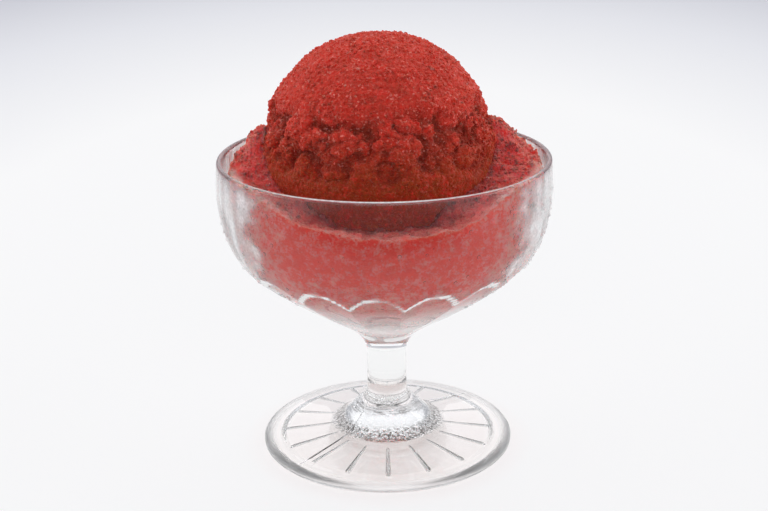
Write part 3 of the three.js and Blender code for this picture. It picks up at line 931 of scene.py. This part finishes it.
def ice_tree(values):
    """Geometry nodes that roughen a form into packed ice: grains, torn chunks and scoop marks."""
    tree, given = geometry_tree("packed ice", values)
    place = add_node(tree, "GeometryNodeInputPosition")
    normal = add_node(tree, "GeometryNodeInputNormal")
    torn, scraped, loose = (mask_node(tree, name) for name in ("torn", "scraped", "loose"))

    wobble = noise_node(tree, place, 2.2 * MM, 2.0)
    drift = vector_maths(tree, "SUBTRACT", wobble.outputs["Color"], (0.5, 0.5, 0.5))
    bent = vector_maths(tree, "MULTIPLY_ADD", drift, (1.6 * MM,) * 3, place)

    grains = add_node(tree, "ShaderNodeTexVoronoi", place, {
        "Scale": maths(tree, "DIVIDE", 1.0, given["Grain"])})
    grain_rise = maths(tree, "SUBTRACT", 0.5, grains.outputs["Distance"])
    grain_lift = maths(tree, "MULTIPLY", grain_rise, given["Grain Depth"])

    chunks = add_node(tree, "ShaderNodeTexVoronoi", bent, {
        "Scale": maths(tree, "DIVIDE", 1.0, given["Chunk"])})
    own = add_node(tree, "ShaderNodeSeparateXYZ", chunks.outputs["Color"])
    dome = maths(tree, "SUBTRACT", 0.55, chunks.outputs["Distance"])
    sunk = remap(tree, own.outputs["X"], 0.0, 1.0, -0.75, 0.45)
    crag = maths(tree, "ADD", dome, sunk)
    bits = add_node(tree, "ShaderNodeTexVoronoi", bent, {
        "Scale": maths(tree, "DIVIDE", 2.1, given["Chunk"])})
    bit_rise = maths(tree, "SUBTRACT", 0.45, bits.outputs["Distance"])
    rugged = maths(tree, "MULTIPLY_ADD", bit_rise, 0.55, crag)
    sunken = remap(tree, rugged, -0.1, -0.7, 0.0, 0.8)
    # How deep the tears sink, kept so that the material darkens them as painted shade.
    shaded_hollow = maths(tree, "MULTIPLY_ADD", sunken, torn, mask_node(tree, "pit"), use_clamp=True)
    crag_lift = maths(tree, "MULTIPLY", maths(tree, "MULTIPLY", rugged, given["Chunk Depth"]), torn)

    drawn = vector_maths(tree, "MULTIPLY", place, (0.2, 0.2, 1.0))
    marks = noise_node(tree, drawn, 1.3 * MM, 3.0)
    mark = maths(tree, "SUBTRACT", marks, 0.55)
    mark_lift = maths(tree, "MULTIPLY", maths(tree, "MULTIPLY", mark, given["Scrape Depth"]), scraped)

    both = maths(tree, "ADD", grain_lift, crag_lift)
    total = maths(tree, "ADD", both, mark_lift)
    lift = maths(tree, "MULTIPLY", total, loose)
    offset = vector_maths(tree, "SCALE", normal, {"Scale": lift})
    marked = keep_mask(tree, given["Geometry"], "pit", shaded_hollow)
    return close_tree(tree, given, add_node(tree, "GeometryNodeSetPosition", marked, {"Offset": offset}))


def grain_tree(values):
    """Geometry nodes that leave broken grains of ice on the torn and scraped faces."""
    tree, given = geometry_tree("broken grains", values)
    stretch, turn = (
        add_node(tree, "FunctionNodeRandomValue", (low,) * 3, (high,) * 3, data_type="FLOAT_VECTOR")
        for low, high in ((0.6, 1.3), (0.0, 6.28)))
    grains = scatter_nodes(tree, given, "broken", rounds=1, skew=2.0, stretch=stretch, turn=turn)
    return close_tree(tree, given, grains)


class SHERBET_OT_bed(bpy.types.Operator):
    """Builds the bed of sherbet that fills the bowl"""
    bl_idname = "sherbet.bed"
    bl_label = "Sherbet bed"

    def execute(self, context):
        settings = context.scene.sherbet
        ice = fruit_ice(settings, "fruit ice against glass", settings.bed_hex, settings.bed_deep_hex,
                        (settings.pressed_hex, settings.frost_and_painted_light_hex), 0.4, 10.0)
        values = ice_values(settings, ice)
        mesh = run_tree("bed", ice_tree(values), bed_mesh(), values)
        finish_piece(add_object("bed", mesh), "sherbet_bed")
        return {"FINISHED"}


class SHERBET_OT_ball(bpy.types.Operator):
    """Builds the scooped ball, scraped above and torn across its middle"""
    bl_idname = "sherbet.ball"
    bl_label = "Sherbet ball"

    def execute(self, context):
        settings = context.scene.sherbet
        ice = fruit_ice(settings, "fruit ice", settings.ball_hex, settings.ball_deep_hex,
                        (settings.low_shade_hex, settings.ball_deep_hex), 0.7, 1.4)
        values = ice_values(settings, ice)
        mesh = run_tree("ball", ice_tree(values), ball_mesh(settings), values)
        finish_piece(add_object("ball", mesh), "sherbet_scoop")
        return {"FINISHED"}


class SHERBET_OT_grains(bpy.types.Operator):
    """Scatters broken grains of ice over the ball and the loose parts of the bed"""
    bl_idname = "sherbet.grains"
    bl_label = "Broken grains"

    def execute(self, context):
        settings = context.scene.sherbet
        for name, seed in (("bed", 3), ("ball", 5)):
            source = bpy.data.objects[name]
            scatter(name + "_grains", source, grain_tree, settings.broken_grains / MM ** 2,
                    0.35 * settings.broken_grain, settings.broken_grain, seed,
                    source.material_slots[0].material)
        return {"FINISHED"}


# ======== the stage ========

def hang_softbox(scene, name, place, size, power):
    """Hangs a rectangular light that faces the middle of the dish."""
    light = bpy.data.lights.new(name, "AREA")
    light.shape = "RECTANGLE"
    light.size, light.size_y = size
    light.energy = power
    lamp = bpy.data.objects.new(name, light)
    scene.collection.objects.link(lamp)
    lamp.location = place
    lamp.rotation_euler = (SOFTBOX_AIM - lamp.location).to_track_quat("-Z", "Y").to_euler()


class SHERBET_OT_stage(bpy.types.Operator):
    """Lays the lit floor, and sets the camera and the soft lights"""
    bl_idname = "sherbet.stage"
    bl_label = "Stage"

    def execute(self, context):
        scene = context.scene
        settings = scene.sherbet_stage
        turn = np.linspace(0, 2 * math.pi, 96, endpoint=False)
        reach = FLOOR_RADIUS * MM
        corners = [(reach * math.cos(angle), reach * math.sin(angle), 0) for angle in turn]
        sheet = bpy.data.meshes.new("floor")
        sheet.from_pydata(corners, [], [range(len(corners))])
        sheet.materials.append(lit_acrylic(settings))
        add_object("floor", sheet)

        lens = bpy.data.cameras.new("camera")
        lens.sensor_width = SENSOR_WIDTH
        lens.lens = FOCAL_PIXELS * SENSOR_WIDTH / PICTURE_WIDTH
        lens.clip_start = 0.01
        camera = bpy.data.objects.new("camera", lens)
        scene.collection.objects.link(camera)
        aim = Euler((math.pi / 2 - CAMERA_PITCH, 0, 0)).to_matrix()
        stand = Vector((CAMERA_SIDE, -CAMERA_DISTANCE, CAMERA_HEIGHT)) * MM
        rolled = aim @ Matrix.Rotation(CAMERA_ROLL, 3, "Z")
        camera.matrix_world = Matrix.Translation(stand) @ rolled.to_4x4()
        scene.camera = camera

        for name, place, size, power in SOFTBOXES:
            hang_softbox(scene, name, place, size, getattr(settings, power))
        scene.world = bpy.data.worlds.new("studio")
        scene.world.use_nodes = True
        walls = scene.world.node_tree
        towards = add_node(walls, "ShaderNodeTexCoord").outputs["Generated"]
        up = add_node(walls, "ShaderNodeSeparateXYZ", towards)
        bright = remap(
            walls, up.outputs["Z"], 0.2, 0.8, settings.wall_strength, settings.fill_strength, smooth=True)
        dim = remap(walls, up.outputs["Y"], -0.9, -0.3, 0.6)
        fill(walls, walls.nodes["Background"], {
            "Color": linear(settings.wall_hex), "Strength": maths(walls, "MULTIPLY", bright, dim)})
        scene.cycles.blur_glossy = 0.0  # keeps the light that reaches the sherbet through the glass
        scene.view_settings.view_transform = "Standard"
        return {"FINISHED"}


# ======== the panel, registration and the run ========

OPERATORS = (
    SHERBET_OT_stage, SHERBET_OT_dish, SHERBET_OT_dew, SHERBET_OT_bed, SHERBET_OT_ball, SHERBET_OT_grains)


class SHERBET_PT_cup(bpy.types.Panel):
    """Lists the pieces of the sherbet cup"""
    bl_idname = "SHERBET_PT_cup"
    bl_label = "Sherbet Cup"
    bl_space_type = "VIEW_3D"
    bl_region_type = "UI"
    bl_category = "Sherbet Cup"

    def draw(self, context):
        for operator in OPERATORS:
            self.layout.operator(operator.bl_idname)


CLASSES = (DishSettings, SherbetSettings, StageSettings, *OPERATORS, SHERBET_PT_cup)


def register():
    for kind in CLASSES:
        bpy.utils.register_class(kind)
    bpy.types.Scene.sherbet_dish = bpy.props.PointerProperty(type=DishSettings)
    bpy.types.Scene.sherbet = bpy.props.PointerProperty(type=SherbetSettings)
    bpy.types.Scene.sherbet_stage = bpy.props.PointerProperty(type=StageSettings)


def unregister():
    del bpy.types.Scene.sherbet_stage
    del bpy.types.Scene.sherbet
    del bpy.types.Scene.sherbet_dish
    for kind in reversed(CLASSES):
        bpy.utils.unregister_class(kind)


def main():
    """Builds everything in order."""
    register()
    bpy.ops.sherbet.stage()
    bpy.ops.sherbet.dish()
    bpy.ops.sherbet.dew()
    bpy.ops.sherbet.bed()
    bpy.ops.sherbet.ball()
    bpy.ops.sherbet.grains()


if __name__ == "__main__":
    main()
